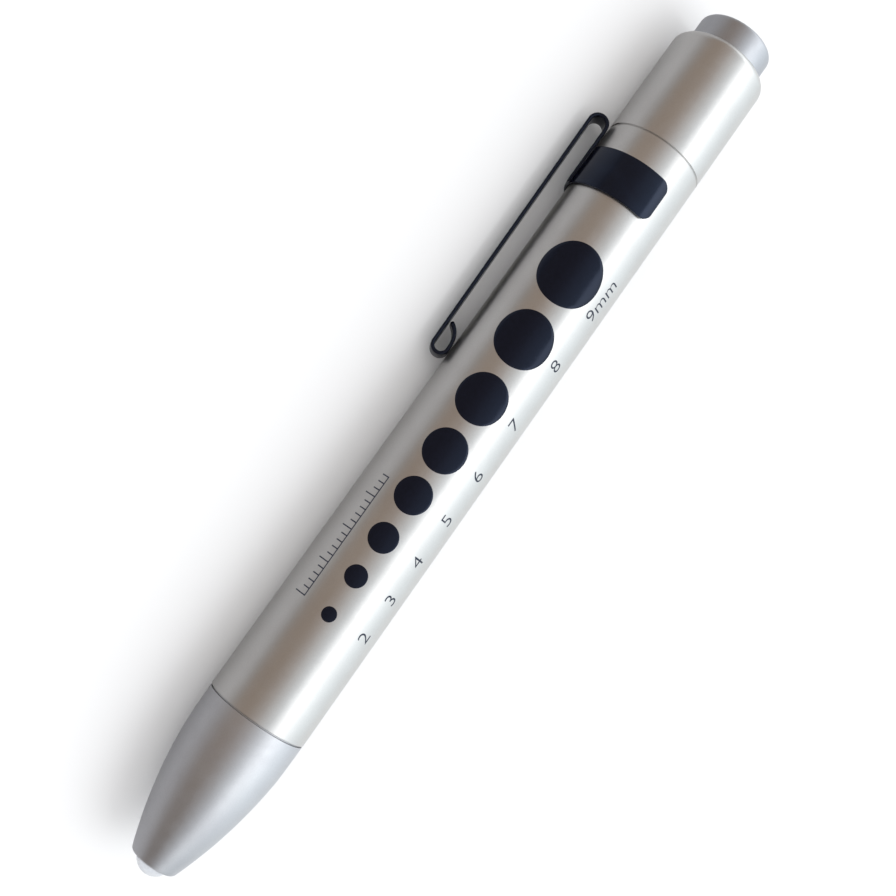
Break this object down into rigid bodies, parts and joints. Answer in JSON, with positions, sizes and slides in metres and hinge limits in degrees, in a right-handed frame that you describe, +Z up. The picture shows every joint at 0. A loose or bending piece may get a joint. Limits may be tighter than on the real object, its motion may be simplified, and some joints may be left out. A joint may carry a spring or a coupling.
{
  "type": "diagnostic penlight",
  "caption": "Pocket examination light: slim metal barrel with a printed pupil-size scale, screw-on tapered nose with a domed lamp, spring clip and tail push button.",
  "frame": {"origin": "under the middle of the bounding box, on the surface that the light lies on", "axes": "+X along the barrel towards the lamp, -Y towards the clip's side, +Z up"},
  "size_m": [0.1352, 0.0162, 0.0151],
  "materials": {
    "barrel": "satin bead-blasted and clear anodised",
    "nose": "matte bead-blasted and clear anodised",
    "button": "fine satin, anodised",
    "clip": "gloss black enamel on spring steel",
    "lamp": "clear moulded epoxy with a faint blue tint",
    "steel": "nickel plated",
    "brass": "bright stamped or wound brass",
    "rubber": "greased nitrile rubber",
    "black_plastic": "moulded, fine grain",
    "white_plastic": "moulded, natural white",
    "board": "green solder mask over glass laminate",
    "cell_jacket": "plain printed film over the cell's can"
  },
  "bodies": {
    "barrel": {"barrel_tube": "barrel", "barrel_o_ring": "rubber", "clip_band": "clip", "cell_1_jacket": "cell_jacket", "cell_1_positive_cap": "steel", "cell_1_negative_plate": "steel", "cell_2_jacket": "cell_jacket", "cell_2_positive_cap": "steel", "cell_2_negative_plate": "steel"},
    "clip_arm": {"clip_arm": "clip"},
    "nose_slide": {"nose_o_ring": "rubber"},
    "nose": {"nose_cone": "nose", "lamp_dome": "lamp", "lamp_bush": "black_plastic", "lamp_anode_lead": "steel", "lamp_cathode_lead": "steel", "module_carrier": "white_plastic", "driver_board": "board", "board_resistor": "black_plastic", "board_chip": "black_plastic", "spring_seat": "brass", "front_spring": "brass"},
    "tail_slide": {"tail_spring": "steel"},
    "tail": {"tail_cap": "barrel", "spring_plate": "brass", "retaining_ring": "brass", "switch_base": "black_plastic", "switch_cover": "black_plastic", "rivet_contact": "brass", "cap_contact": "brass", "return_spring": "steel"},
    "button": {"push_button": "button", "plunger": "white_plastic", "bridge_contact": "brass"}
  },
  "joints": [
    {"name": "clip_flex", "type": "hinge", "parent": "barrel", "child": "clip_arm", "pos_m": [-0.0458, -0.00594, 0.00222], "axis": [0, 0.6101, -0.7923], "range_deg": [0, 6], "stiffness_Nm_per_rad": 2.2, "springref_deg": -1.15},
    {"name": "nose_screw", "type": "slide", "parent": "barrel", "child": "nose_slide", "axis": [1, 0, 0], "range_m": [0, 0.006]},
    {"name": "nose_turn", "type": "hinge", "parent": "nose_slide", "child": "nose", "pos_m": [0.04685, 0.00097, 0.00753], "axis": [1, 0, 0], "range_deg": [0, 2160]},
    {"name": "tail_screw", "type": "slide", "parent": "barrel", "child": "tail_slide", "axis": [-1, 0, 0], "range_m": [0, 0.006]},
    {"name": "tail_turn", "type": "hinge", "parent": "tail_slide", "child": "tail", "pos_m": [-0.05115, 0.00097, 0.00753], "axis": [-1, 0, 0], "range_deg": [0, 2160]},
    {"name": "button_press", "type": "slide", "parent": "tail", "child": "button", "axis": [1, 0, 0], "range_m": [0, 0.0015], "stiffness_N_per_m": 2000, "springref_m": -0.0005, "deforming": ["return_spring"]}
  ],
  "couplings": [
    {"joint": "nose_turn", "follows": "nose_screw", "rad_per_m": 6283.2},
    {"joint": "tail_turn", "follows": "tail_screw", "rad_per_m": 6283.2}
  ]
}
